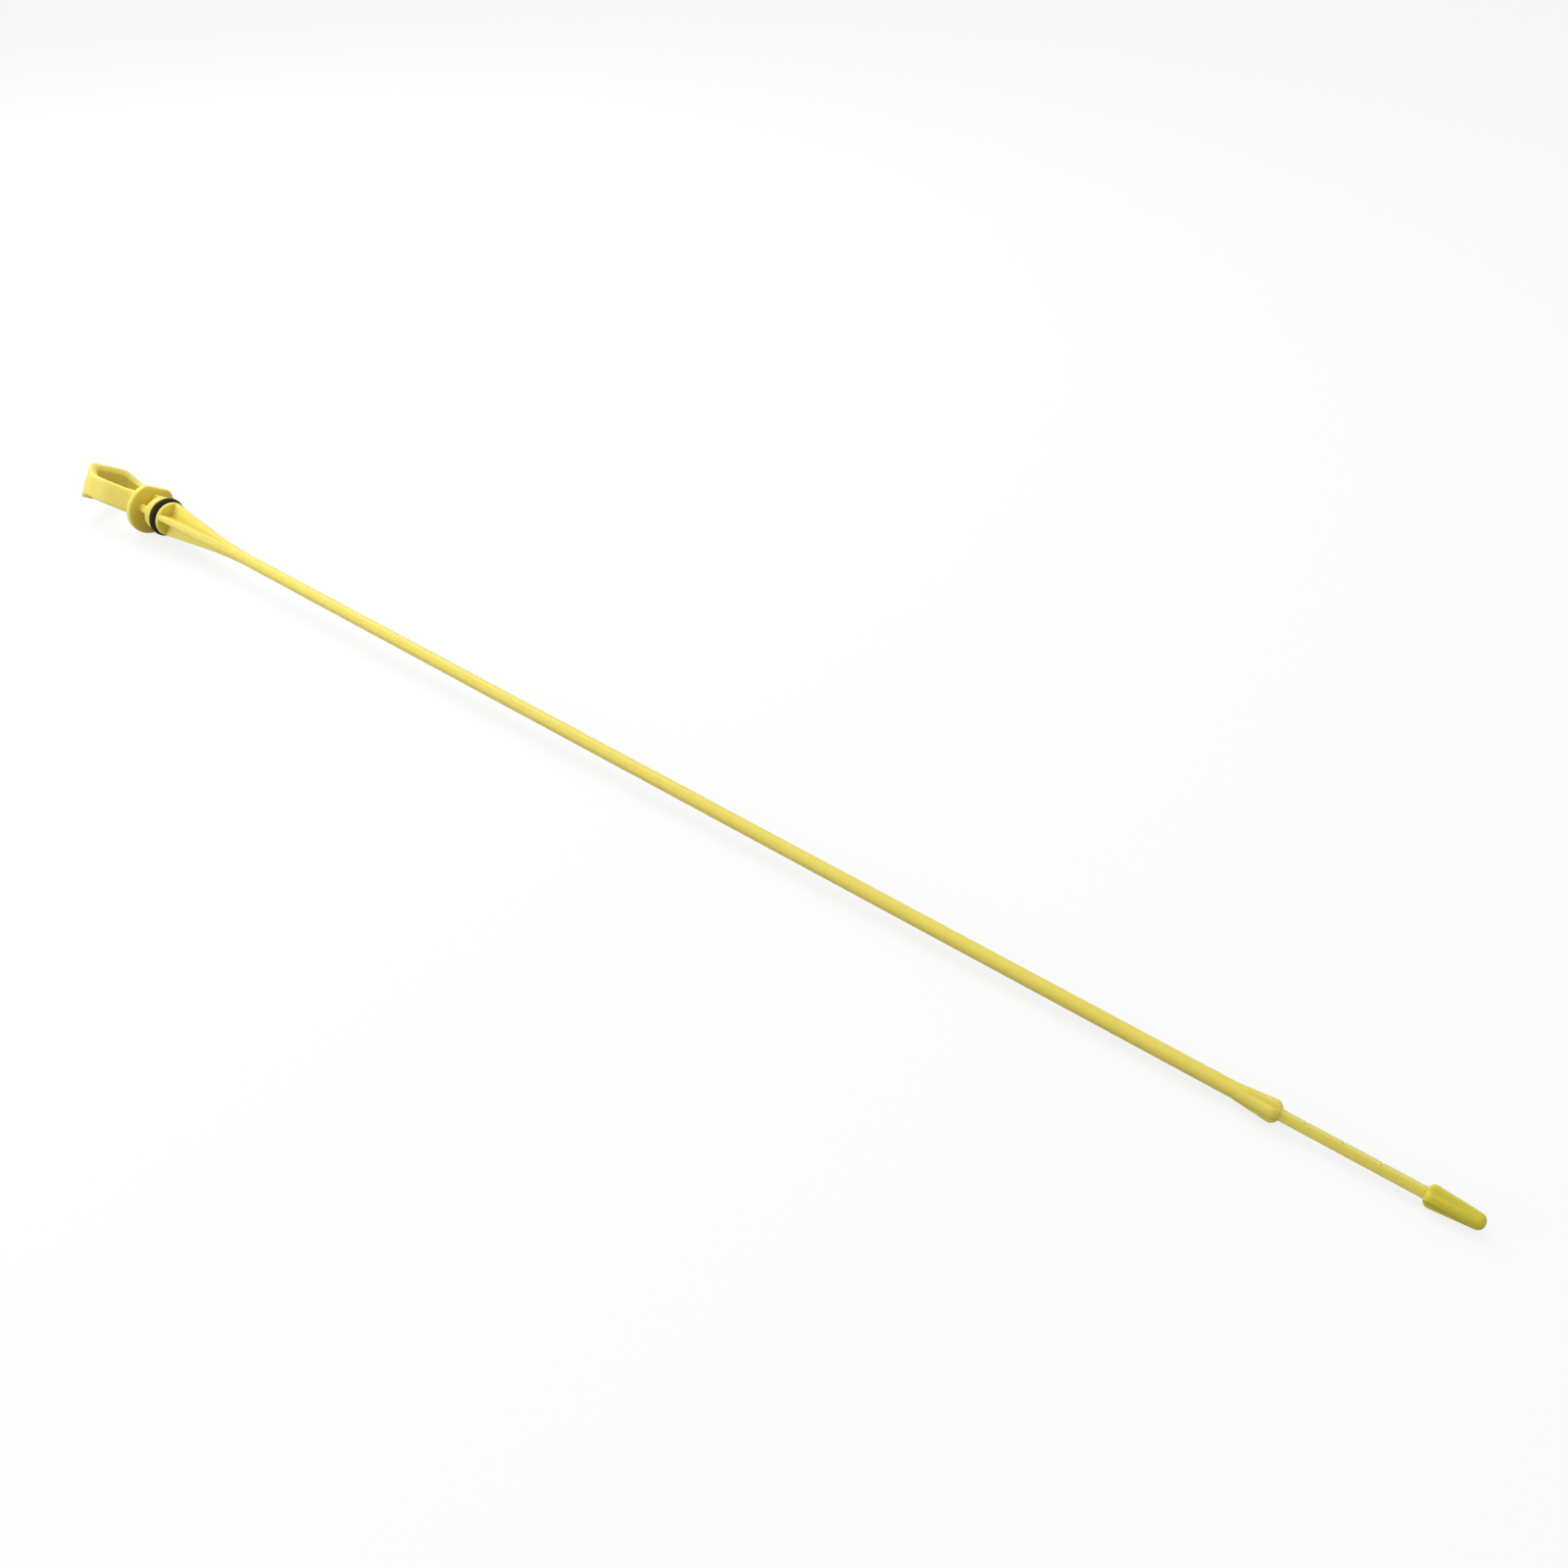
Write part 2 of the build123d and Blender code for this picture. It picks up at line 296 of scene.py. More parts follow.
def surface(name, points, material, pole_rows=False):
    """A mesh on a grid of points, closed across its columns.

    With pole_rows the first and last rows are rings round the axis, each closed by a fan of triangles
    from a vertex at its middle; otherwise the last row joins the first.
    """
    rows, columns = points.shape[:2]
    index = np.arange(rows * columns).reshape(rows, columns)
    near = index[:-1] if pole_rows else index
    far = index[1:] if pole_rows else np.roll(index, -1, axis=0)
    quads = np.stack([near, np.roll(near, -1, axis=1), np.roll(far, -1, axis=1), far], axis=-1)
    faces = quads.reshape(-1, 4).tolist()
    vertices = points.reshape(-1, 3)
    if pole_rows:
        first_pole = np.full(columns, rows * columns)
        last_pole = first_pole + 1
        faces += np.stack([first_pole, np.roll(index[0], -1), index[0]], axis=1).tolist()
        faces += np.stack([last_pole, index[-1], np.roll(index[-1], -1)], axis=1).tolist()
        vertices = np.concatenate([vertices, points[[0, -1]].mean(axis=1)])
    origin, axes = part_axes()
    mesh = bpy.data.meshes.new(name)
    mesh.from_pydata(vertices @ axes + origin, [], faces)
    mesh.shade_smooth()
    mesh.set_sharp_from_angle(angle=SMOOTH_ANGLE)
    mesh.materials.append(material)
    piece = bpy.data.objects.new(name, mesh)
    bpy.context.scene.collection.objects.link(piece)
    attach(piece, "root")
    return piece


def arc(centre, radius, start, stop, steps):
    """Points at even angles from start to stop round a centre, angles in degrees."""
    turn = np.radians(np.linspace(start, stop, steps + 1))
    return np.stack([centre[0] + radius * np.cos(turn), centre[1] + radius * np.sin(turn)], axis=1)


def rounded_run(corners, radii, arc_steps, line_steps):
    """Points along a run of straight lines whose inner corners are rounded, and the normals on its left.

    Each corner's arc touches both lines at radius times the tangent of half the turn from the corner.
    Every line has line_steps points and every arc arc_steps points, and the run's end adds one, so two
    runs with as many corners match.
    """
    corners = np.asarray(corners, float)
    ways = np.diff(corners, axis=0)
    ways /= np.linalg.norm(ways, axis=1, keepdims=True)
    points = []
    normals = []
    begin = corners[0]
    for corner, radius, way_in, way_out in zip(corners[1:-1], radii, ways[:-1], ways[1:]):
        turn = math.atan2(way_in[0] * way_out[1] - way_in[1] * way_out[0], way_in @ way_out)
        touch = radius * math.tan(abs(turn) / 2)
        left = np.array([-way_in[1], way_in[0]])
        stop = corner - touch * way_in
        share = np.linspace(0, 1, line_steps, endpoint=False)[:, None]
        points.append(begin + share * (stop - begin))
        normals.append(np.tile(left, (line_steps, 1)))
        side = math.copysign(1, turn)
        bent = np.linspace(0, turn, arc_steps, endpoint=False)
        heading = math.atan2(left[1], left[0]) + bent
        outward = np.stack([np.cos(heading), np.sin(heading)], axis=1)
        points.append(stop + side * radius * (left - outward))
        normals.append(outward)
        begin = corner + touch * way_out
    share = np.linspace(0, 1, line_steps + 1)[:, None]
    points.append(begin + share * (corners[-1] - begin))
    normals.append(np.tile([-ways[-1][1], ways[-1][0]], (line_steps + 1, 1)))
    return np.concatenate(points), np.concatenate(normals)


def fold(angle):
    """Angle from the nearest of the four ribs' middles, or of a square bar's four faces."""
    return np.abs((angle + EIGHTH) % QUARTER - EIGHTH)


def rib_sections(outline, half_rib, core, edge, root):
    """Sections with four ribs, one for each value of the arguments, as columns of their measures.

    The ribs end on a circle of radius outline, their sides are lines at half_rib from their middle, and
    between them lies a round core. A ball of radius edge rounds each outer corner and one of radius root
    fills each inner corner, and edge_x, edge_y, root_x and root_y are the balls' middles. A rib's height
    runs from its foot, on the core or at the next rib, to its outer corner. Both balls shrink as the rib
    gets low, so that the section runs out into a circle.
    """
    columns = np.broadcast_arrays(outline, half_rib, core)
    outline, half_rib, core = (np.asarray(column, float)[:, None] for column in columns)
    half_rib = np.minimum(half_rib, outline * RIB_LIMIT)
    foot = np.maximum(np.sqrt(np.maximum(core**2 - half_rib**2, 0)), half_rib)
    height = np.maximum(np.sqrt(outline**2 - half_rib**2) - foot, 0)
    edge = np.minimum(edge, np.minimum(ROUND_OF_HEIGHT * height, EDGE_OF_HALF_RIB * half_rib))
    root = np.minimum(root, ROUND_OF_HEIGHT * height)
    edge_y = half_rib - edge
    edge_x = np.sqrt(np.maximum((outline - edge) ** 2 - edge_y**2, 0))
    root_y = half_rib + root
    root_x = np.maximum(np.sqrt(np.maximum((core + root) ** 2 - root_y**2, 0)), root_y)
    return SimpleNamespace(
        outline=outline, half_rib=half_rib, core=core, height=height, edge=edge, root=root,
        edge_x=edge_x, edge_y=edge_y, root_x=root_x, root_y=root_y)


def ribbed_radius(angle, rib):
    """Radius at an angle of ribbed sections: where a ray from the axis meets each stretch of the outline.

    In turn these are the rib's round end, the ball on its outer corner, its side, the ball in its inner
    corner and the core.
    """
    folded = fold(angle)
    across, up = np.cos(folded), np.sin(folded)
    edge_along = rib.edge_x * across + rib.edge_y * up
    edge_reach = rib.edge**2 - rib.edge_x**2 - rib.edge_y**2 + edge_along**2
    root_along = rib.root_x * across + rib.root_y * up
    root_reach = rib.root**2 - rib.root_x**2 - rib.root_y**2 + root_along**2
    return np.select(
        [
            folded <= np.arctan2(rib.edge_y, rib.edge_x),
            folded <= np.arctan2(rib.half_rib, rib.edge_x),
            folded <= np.arctan2(rib.half_rib, rib.root_x),
            folded <= np.arctan2(rib.root_y, rib.root_x) + TINY,
        ],
        [
            rib.outline,
            edge_along + np.sqrt(np.maximum(edge_reach, 0)),
            rib.half_rib / np.maximum(up, TINY),
            root_along - np.sqrt(np.maximum(root_reach, 0)),
        ],
        default=rib.core,
    )


def whole_round(eighth):
    """Angles of the whole round from the columns of one eighth, mirrored and then repeated for each rib."""
    quarter = np.concatenate([eighth, QUARTER - eighth[:, -2:0:-1]], axis=1)
    return np.concatenate([quarter + QUARTER * k for k in range(RIBS)], axis=1)


EVEN_EIGHTH = np.linspace(0, EIGHTH, EIGHTH_COLUMNS)[None, :]
EVEN_ANGLES = whole_round(EVEN_EIGHTH)[0]


def corner_angles(rib):
    """Angles of the columns round ribbed sections, row by row, with a column on each corner.

    An eighth of the round is shared out between the rib's end, its outer corner, its side, and the rest
    with its inner corner and the core. Where the rib is low the columns move to even angles.
    """
    def shares(count):
        """Even shares from 0 to 1, as a row."""
        return np.linspace(0, 1, count + 1)[None, :]

    end_stop = np.arctan2(rib.edge_y, rib.edge_x)
    corner_stop = np.arctan2(rib.half_rib, rib.edge_x)
    side_stop = np.arctan2(rib.half_rib, rib.root_x)
    side_x = rib.edge_x + (rib.root_x - rib.edge_x) * shares(SIDE_COLUMNS)[:, 1:]
    eighth = np.concatenate([
        end_stop * shares(END_COLUMNS),
        end_stop + (corner_stop - end_stop) * shares(CORNER_COLUMNS)[:, 1:],
        np.arctan2(rib.half_rib, side_x),
        side_stop + (EIGHTH - side_stop) * shares(ROOT_COLUMNS)[:, 1:],
    ], axis=1)
    tall = np.clip(rib.height / LOW_RIB, 0, 1)
    return whole_round(EVEN_EIGHTH + (eighth - EVEN_EIGHTH) * tall**2 * (3 - 2 * tall))


def even_rows(count):
    """The even angles of the columns, repeated for each of a number of rows."""
    return np.broadcast_to(EVEN_ANGLES, (count, len(EVEN_ANGLES)))


def round_rows(profile):
    """Rows of plain circles, one for each point of a profile of place and radius."""
    angle = even_rows(len(profile))
    return profile[:, 0], angle, np.broadcast_to(profile[:, 1:], angle.shape)


def cut_above(radius, angle, level):
    """Radii cut by a plane at a level above the axis, which a ray meets at the level over its sine."""
    rise = np.sin(angle)
    return np.where(rise > 0, np.minimum(radius, level / np.maximum(rise, TINY)), radius)


class DIPSTICK_OT_stem(Operator):
    """Mould the stem: flange, plug, flare, rod, guide, gauge bar and tip in one surface"""
    bl_idname = "dipstick.stem"
    bl_label = "Mould stem"

    def execute(self, context):
        size = context.scene.dipstick_stem
        place = stem_places(size)
        stretches = (flange_rows, plug_rows, flare_rows, guide_rows, gauge_rows, tip_rows)
        blocks = zip(*(stretch(size, place) for stretch in stretches))
        along, angle, radius = (np.concatenate(block) for block in blocks)
        along = np.broadcast_to(along[:, None], radius.shape)
        points = np.stack([along, radius * np.cos(angle), radius * np.sin(angle)], axis=-1)
        piece = surface("moulded_stem", points, plastic_finish(), pole_rows=True)
        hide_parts("dipstick_moulding")
        return {"FINISHED"}


def stem_places(size):
    """Places along the axis where the stem's stretches begin, from the seat face."""
    place = {"collar": size.lug_length}
    place["groove"] = place["collar"] + size.collar_width
    place["lip"] = place["groove"] + size.groove_width
    place["flare"] = place["lip"] + size.lip_width
    place["bend"] = place["flare"] + size.flare_length
    place["rod"] = place["bend"] + size.flare_blend
    place["guide"] = place["flare"] + size.rod_length
    place["gauge"] = place["guide"] + size.guide_length
    place["tip"] = place["gauge"] + size.gauge_length
    place["end"] = place["tip"] + size.tip_length
    return place


def flange_rows(size, place):
    """The stop flange: its back face, two quarter rounds with the rim between them, and the seat face.

    The flat cuts the rounds' rows, and the rows of both faces are shares of the nearest of those. The
    flange lies behind the seat face, from which all places count.
    """
    back, edge, seat_edge = -size.flange_thickness, size.flange_edge, size.flange_seat_edge
    back_share = np.array(FLANGE_BACK_SHARES)
    seat_share = np.array(FLANGE_SEAT_SHARES)
    profile = np.concatenate([
        arc((back + edge, size.flange_radius - edge), edge, 180, 90, FLANGE_EDGE_STEPS),
        arc((-seat_edge, size.flange_radius - seat_edge), seat_edge, 90, 0, FLANGE_EDGE_STEPS),
    ])
    along, angle, radius = round_rows(profile)
    radius = cut_above(radius, angle, size.flange_flat)
    along = np.concatenate([np.full_like(back_share, back), along, np.zeros_like(seat_share)])
    radius = np.concatenate([back_share[:, None] * radius[0], radius, seat_share[:, None] * radius[-1]])
    return along, even_rows(len(along)), radius


def plug_rows(size, place):
    """The four lugs on their core, then collar, groove and lip as circles with rounded edges."""
    def disc(start, stop, first_edge, last_edge):
        """Place and radius along a disc's rim, with a quarter round at each edge."""
        first = (start + first_edge, size.plug_radius - first_edge)
        last = (stop - last_edge, size.plug_radius - last_edge)
        return np.concatenate([
            arc(first, first_edge, 180, 90, PLUG_EDGE_STEPS),
            arc(last, last_edge, 90, 0, PLUG_EDGE_STEPS),
        ])

    lug_along = np.array(LUG_SHARES) * size.lug_length
    lug_reach = np.full_like(lug_along, size.lug_reach)
    lugs = rib_sections(lug_reach, size.lug_thickness / 2, size.core_radius, size.rib_edge, size.rib_root)
    lug_angle = corner_angles(lugs)
    profile = np.concatenate([
        disc(place["collar"], place["groove"], size.plug_edge, size.plug_edge),
        [[place["groove"], size.groove_radius], [place["lip"], size.groove_radius]],
        disc(place["lip"], place["flare"], size.lip_ring_edge, size.lip_flare_edge),
    ])
    blocks = zip((lug_along, lug_angle, ribbed_radius(lug_angle, lugs)), round_rows(profile))
    return tuple(np.concatenate(block) for block in blocks)


def flare_rows(size, place):
    """The flare and the rod: four ribs that thicken and get lower, blended into the round rod.

    The outline falls in a straight line from the flare's radius at the lip to the rod's radius at the
    bend, and an arc that touches both lines one blend length from the bend rounds it.
    """
    run = place["rod"] - place["flare"]
    on_flare = place["flare"] + run * np.linspace(0, 1, FLARE_STEPS + 1)
    on_rod = np.linspace(place["rod"], place["guide"], ROD_STEPS + 1)[1:]
    along = np.concatenate([on_flare, on_rod])
    fall = (size.flare_radius - size.rod_radius) / size.flare_length
    straight = size.rod_radius + np.maximum(place["bend"] - along, 0) * fall
    blend_radius = size.flare_blend / math.tan(math.atan(fall) / 2)
    before_rod = np.clip(place["rod"] - along, 0, blend_radius)
    blended = size.rod_radius + blend_radius - np.sqrt(blend_radius**2 - before_rod**2)
    touch = place["bend"] - size.flare_blend * math.cos(math.atan(fall))
    outline = np.where(along < touch, straight, blended)
    share = np.clip((along - place["flare"]) / run, 0, 1)
    half_rib = (size.rib_start + (size.rib_end - size.rib_start) * share) / 2
    core = np.where(along >= place["bend"], size.rod_radius, 0)
    ribs = rib_sections(outline, half_rib, core, size.rib_edge, size.flare_root)
    angle = corner_angles(ribs)
    return along, angle, ribbed_radius(angle, ribs)


def finned(outline, fin, core, size):
    """Angles and radii of rows with four soft fins, on even columns that run straight along the stem."""
    fins = rib_sections(outline, fin / 2, np.minimum(core, outline), size.fin_round, size.fin_round)
    angle = even_rows(len(outline))
    return angle, ribbed_radius(angle, fins)


def guide_rows(size, place):
    """The guide: four fins that rise from the rod along a cone, and end in a round nose on the gauge bar.

    The nose's arc touches the cone and stands square to the axis at the guide's end. From the nose's
    middle on, the rows are never inside the bar.
    """
    slope = math.atan((size.guide_radius - size.rod_radius) / size.guide_length)

    def cone(along):
        """Radius of the cone, which grows with its slope from the guide's start."""
        return size.rod_radius + (along - place["guide"]) * math.tan(slope)

    nose_x = place["gauge"] - size.guide_nose
    nose_r = cone(nose_x) - size.guide_nose / math.cos(slope)
    cone_end = nose_x - size.guide_nose * math.sin(slope)
    on_cone = np.linspace(place["guide"], cone_end, GUIDE_STEPS + 1)[1:]
    leaning = 90 + math.degrees(slope)
    nose = arc((nose_x, nose_r), size.guide_nose, leaning, 0, GUIDE_NOSE_STEPS)[1:]
    along = np.concatenate([on_cone, nose[:, 0]])
    outline = np.concatenate([cone(on_cone), nose[:, 1]])
    angle, radius = finned(outline, size.guide_fin, size.rod_radius, size)
    on_bar = along[:, None] > nose_x
    return along, angle, np.where(on_bar, np.maximum(radius, square_radius(angle, size)), radius)


def square_radius(angle, size):
    """Radius at an angle of the square bar, whose corners are quarter rounds."""
    half, edge = size.gauge_side / 2, size.gauge_edge
    folded = fold(angle)
    middle = half - edge
    along = middle * (np.cos(folded) + np.sin(folded))
    rounded = along + np.sqrt(np.maximum(edge**2 - 2 * middle**2 + along**2, 0))
    return np.where(folded < math.atan2(middle, half), half / np.cos(folded), rounded)


def gauge_rows(size, place):
    """The gauge bar: a square with rounded edges, and V-shaped level notches across its upper face.

    A notch's depth grows in a straight line from its edges to a narrow floor.
    """
    notches = place["gauge"] + size.notch_first + size.notch_pitch * np.arange(size.notch_count)
    half, floor = size.notch_half, size.notch_half * NOTCH_FLOOR_SHARE
    around = np.array([-half - floor, -half, -floor, 0, floor, half, half + floor])
    along = (notches[:, None] + around).ravel()
    away = np.abs(along[:, None] - notches).min(axis=1)
    depth = size.notch_depth * np.clip((half - away) / (half - floor), 0, 1)
    angle = even_rows(len(along))
    level = (size.gauge_side / 2 - depth)[:, None]
    return along, angle, cut_above(square_radius(angle, size), angle, level)


def tip_rows(size, place):
    """The tip: four fins trimmed to a round shoulder, a slow cone and a blunt nose, down to the axis.

    The arcs of shoulder and nose touch the cone and stand square to the axis at the tip's start and end.
    Up to the shoulder's middle, the rows are never inside the bar.
    """
    slope = math.atan((size.tip_radius - size.tip_end_radius) / size.tip_length)

    def cone(along):
        """Radius of the cone, which falls with its slope from the tip's start."""
        return size.tip_radius - (along - place["tip"]) * math.tan(slope)

    shoulder, nose = size.tip_shoulder, size.tip_nose
    shoulder_x = place["tip"] + shoulder
    nose_x = place["end"] - nose
    shoulder_r = cone(shoulder_x) - shoulder / math.cos(slope)
    nose_r = cone(nose_x) - nose / math.cos(slope)
    leaning = 90 - math.degrees(slope)
    shoulder_arc = arc((shoulder_x, shoulder_r), shoulder, 180, leaning, TIP_SHOULDER_STEPS)
    nose_arc = arc((nose_x, nose_r), nose, leaning, 0, TIP_NOSE_STEPS)
    on_cone = np.linspace(shoulder_arc[-1], nose_arc[0], TIP_CONE_STEPS + 1)[1:-1]
    end_face = [[place["end"], nose_r * share] for share in TIP_END_SHARES]
    along, outline = np.concatenate([shoulder_arc, on_cone, nose_arc, end_face]).T
    angle, radius = finned(outline, size.tip_fin, size.tip_core, size)
    on_bar = along[:, None] < shoulder_x
    return along, angle, np.where(on_bar, np.maximum(radius, square_radius(angle, size)), radius)


class DIPSTICK_OT_handle(Operator):
    """Mould the loop handle: a waisted band round the finger hole, from the flange to the outer end"""
    bl_idname = "dipstick.handle"
    bl_label = "Mould handle"

    def execute(self, context):
        points = handle_points(context.scene.dipstick_handle, context.scene.dipstick_stem)
        piece = surface("loop_handle", points, plastic_finish())
        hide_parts("dipstick_moulding")
        return {"FINISHED"}


def handle_places(size, stem):
    """Places along the axis, from the seat face: the handle's root in the flange, its hole and its end."""
    back = -stem.flange_thickness
    end = back - size.reach
    return {
        "root": back / 2,
        "hole": back - size.hole_front,
        "widest": end + size.end_taper,
        "waist": end + size.flare_length,
        "crown": end + size.crown_length,
        "hole_end": end + size.end_wall,
        "end": end,
    }


def moved_corner(first, corner, last, inset):
    """The corner of the lines from first to corner and from corner to last, moved to their left.

    The inset is one distance for both lines, or one for each.
    """
    ways = np.array([corner - first, last - corner])
    ways /= np.linalg.norm(ways, axis=1, keepdims=True)
    lefts = np.stack([-ways[:, 1], ways[:, 0]], axis=1)
    return np.linalg.solve(lefts, lefts @ corner + inset)


def loop_outlines(size, place):
    """Outer and inner outline of the loop in plan, each as points and normals, with as many points each.

    Half of each is a run of lines with rounded corners, and the other half is its mirror image. The inner
    lines are the outer ones moved inwards by the wall, or by the end wall at the outer end, and a line
    across closes the hole near the flange.
    """
    def whole_loop(run):
        """A run, and its mirror image on the way back."""
        return np.concatenate([run, run[-2:0:-1] * np.array([1, -1])])

    neck = np.array([place["root"], size.neck_width / 2])
    side = np.array([place["widest"], size.width / 2])
    tail = np.array([place["end"], size.end_width / 2])
    middle = np.array([place["end"], 0])
    hole_side = moved_corner(neck, side, tail, size.wall)
    hole_tail = moved_corner(side, tail, middle, np.array([size.wall, size.end_wall]))
    hole_front = hole_side + (neck - side) * (place["hole"] - hole_side[0]) / (neck - side)[0]
    outer_run = rounded_run(
        [(place["root"], 0), neck, side, tail, middle],
        [size.neck_corner, size.side_radius, size.end_radius],
        LOOP_ARC_STEPS, LOOP_LINE_STEPS)
    inner_run = rounded_run(
        [(place["hole"], 0), hole_front, hole_side, hole_tail, (place["hole_end"], 0)],
        [size.hole_radius, size.side_radius - size.wall, size.end_radius - size.wall],
        LOOP_ARC_STEPS, LOOP_LINE_STEPS)
    return [whole_loop(run) for run in (*outer_run, *inner_run)]


def handle_points(size, stem):
    """Points of the loop handle, as a band section carried round the loop.

    At each pair of points of the outer and inner outline the section climbs the outer wall, turns over a
    rounded edge, crosses to the hole, falls along the hole's sloping edge and goes down the inner wall,
    and back underneath. The slope's depth grows with a power of the way across it. The heights follow the
    waisted side outline at each point's own place along the axis.
    """
    place = handle_places(size, stem)
    outer, outer_way, inner, inner_way = loop_outlines(size, place)
    side_outline, _ = rounded_run(
        [
            (place["root"], size.neck_height / 2),
            (place["waist"], size.waist_height / 2),
            (place["crown"], size.end_height / 2),
            (place["end"], size.end_height / 2),
        ],
        [size.flare_radius, size.crown_radius],
        SIDE_ARC_STEPS, SIDE_LINE_STEPS)
    turn = np.linspace(0, math.pi / 2, BAND_EDGE_STEPS + 1)
    fall = np.linspace(0, 1, BAND_SLOPE_STEPS + 1)
    cross = np.linspace(0, 1, BAND_CAP_STEPS + 1)[None, 1:-1, None]
    climb = np.linspace(0, 1, BAND_WALL_STEPS + 1)[None, 1:-1, None]
    outer_edge = outer[:, None] + size.edge * (1 - np.cos(turn))[None, :, None] * outer_way[:, None]
    inner_edge = inner[:, None] - size.hole_slope * (1 - fall)[None, :, None] * inner_way[:, None]
    cap = outer_edge[:, -1:] + cross * (inner_edge[:, :1] - outer_edge[:, -1:])
    plan = np.concatenate([outer_edge, cap, inner_edge], axis=1)
    height = np.interp(-plan[..., 0], -side_outline[:, 0], side_outline[:, 1])
    drop = np.concatenate([
        size.edge * (1 - np.sin(turn)),
        np.zeros(BAND_CAP_STEPS - 1),
        size.hole_drop * fall**SLOPE_POWER,
    ])
    upper = np.concatenate([plan, (height - drop)[..., None]], axis=2)
    lower = upper[:, ::-1] * np.array([1, 1, -1])
    inner_wall = upper[:, -1:] + climb * (lower[:, :1] - upper[:, -1:])
    outer_wall = lower[:, -1:] + climb * (upper[:, :1] - lower[:, -1:])
    return np.concatenate([upper, inner_wall, lower, outer_wall], axis=1)[:, ::-1]


class DIPSTICK_OT_ring(Operator):
    """Make the sealing ring in its groove"""
    bl_idname = "dipstick.ring"
    bl_label = "Make sealing ring"

    def execute(self, context):
        points = ring_points(context.scene.dipstick_ring, context.scene.dipstick_stem)
        piece = surface("sealing_ring", points, rubber_finish())
        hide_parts("o_ring")
        return {"FINISHED"}


def ring_points(size, stem):
    """Points of the sealing ring: a round section above the groove's floor, carried round the axis."""
    place = stem_places(stem)
    round_angle = np.linspace(0, math.tau, RING_STEPS, endpoint=False)[:, None]
    section_angle = np.linspace(0, math.tau, RING_SECTION_STEPS, endpoint=False)[None, :]
    half = size.section / 2
    radius = stem.groove_radius + size.seat_gap + half + half * np.cos(section_angle)
    along = (place["groove"] + place["lip"]) / 2 - half * np.sin(section_angle)
    along = np.broadcast_to(along, (RING_STEPS, RING_SECTION_STEPS))
    return np.stack([along, radius * np.cos(round_angle), radius * np.sin(round_angle)], axis=-1)


class Socket:
    """A node's output that can be added, taken away and multiplied, and that adds nodes to its tree."""

    def __init__(self, tree, output=None):
        self.tree = tree
        self.output = output

    def node(self, kind, settings=None, sockets=None, output=0):
        """Add a node: its settings come first, then the values or links of its sockets."""
        made = self.tree.nodes.new(kind)
        for name, value in (settings or {}).items():
            setattr(made, name, value)
        for key, value in (sockets or {}).items():
            if isinstance(value, Socket):
                self.tree.links.new(value.output, made.inputs[key])
            else:
                made.inputs[key].default_value = value
        return Socket(self.tree, made.outputs[output] if made.outputs else None)

    def math(self, operation, first, second):
        """Add a Math node on two values."""
        return self.node("ShaderNodeMath", {"operation": operation}, {0: first, 1: second})

    def __add__(self, other):
        return self.math("ADD", self, other)

    def __mul__(self, other):
        return self.math("MULTIPLY", self, other)

    def __sub__(self, other):
        return self.math("SUBTRACT", self, other)

    def __rsub__(self, other):
        return self.math("SUBTRACT", other, self)

    __radd__ = __add__
    __rmul__ = __mul__


def start_tree(owner):
    """Empty the node tree of a material or a world, and wrap it."""
    owner.use_nodes = True
    owner.node_tree.nodes.clear()
    return Socket(owner.node_tree)


def start_material(name):
    """A new material with an empty node tree, and its first wrapped socket, the Object coordinates."""
    material = bpy.data.materials.new(name)
    return material, start_tree(material).node("ShaderNodeTexCoord", output="Object")


def noise(place, scale, detail):
    """A noise value from 0 to 1 at Object coordinates, with scale in repeats per metre."""
    return place.node("ShaderNodeTexNoise", {}, {"Vector": place, "Scale": scale, "Detail": detail})


def mix_colours(share, first, second):
    """The first colour where the share is 0 and the second where it is 1.

    Sockets 0, 6 and 7 of the node are its factor and its two colours, and output 2 is its colour.
    """
    return share.node("ShaderNodeMix", {"data_type": "RGBA"}, {0: share, 6: first, 7: second}, 2)


def smooth_step(value, start, stop, low, high):
    """A value that goes from low at start to high at stop, with a smooth run at both ends."""
    settings = {"interpolation_type": "SMOOTHSTEP"}
    limits = {"From Min": start, "From Max": stop, "To Min": low, "To Max": high}
    return value.node("ShaderNodeMapRange", settings, {"Value": value, **limits})


def level_on(place, origin, axis):
    """How far a point lies from the origin along an axis: the dot product less the origin's own."""
    dot = place.node("ShaderNodeVectorMath", {"operation": "DOT_PRODUCT"}, {0: place, 1: axis}, "Value")
    return dot - float(origin @ axis)


def ridge(place, origin, normal, half_width):
    """One on the plane through the origin with that normal, and smoothly down to zero at half_width."""
    away = place.math("ABSOLUTE", level_on(place, origin, normal), 0)
    return smooth_step(away, 0, half_width, 1, 0)


def finish_surface(place, sockets, bump, bump_strength, bump_depth):
    """A Principled shader with a bump, linked to the material's output."""
    relief = {"Strength": bump_strength, "Distance": bump_depth, "Height": bump}
    normal = place.node("ShaderNodeBump", {}, relief)
    shader = place.node("ShaderNodeBsdfPrincipled", {}, {**sockets, "Normal": normal})
    place.node("ShaderNodeOutputMaterial", {}, {"Surface": shader})


